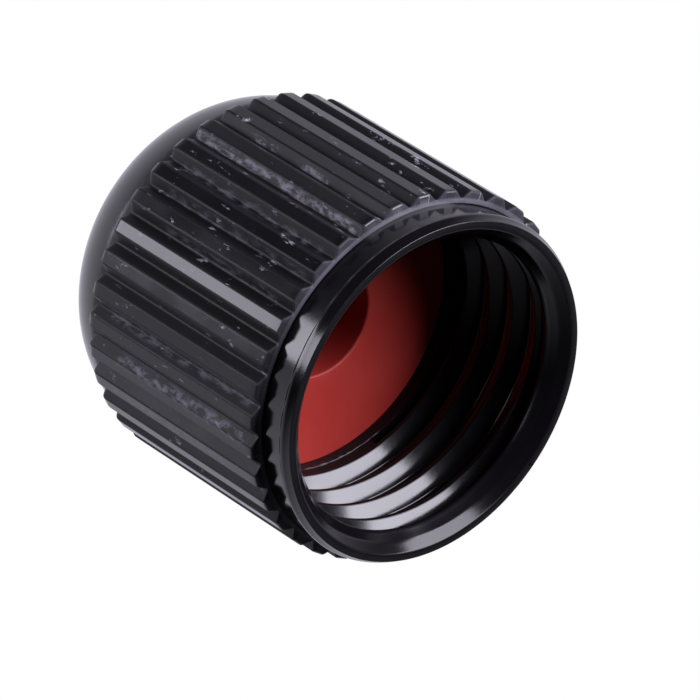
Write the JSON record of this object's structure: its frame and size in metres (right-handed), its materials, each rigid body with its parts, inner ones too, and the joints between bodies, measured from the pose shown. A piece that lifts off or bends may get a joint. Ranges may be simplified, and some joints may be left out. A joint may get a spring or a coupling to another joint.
{
  "type": "tyre valve cap",
  "caption": "Domed tyre valve cap with lengthwise grip ribs, a rounded collar and a threaded mouth with a rubber seal inside.",
  "frame": {"origin": "centre of the mouth rim, where the cap stands on a flat surface", "axes": "+Z along the axis from the mouth to the top of the dome; X and Y across it, with a rib's crest on +X"},
  "size_m": [0.0088, 0.0088, 0.0093],
  "materials": {
    "black_plastic": "moulded black plastic, satin to gloss, lightly scuffed",
    "red_rubber": "moulded red rubber, matt"
  },
  "bodies": {
    "root": {"cap_body": "black_plastic", "seal": "red_rubber"}
  },
  "joints": []
}
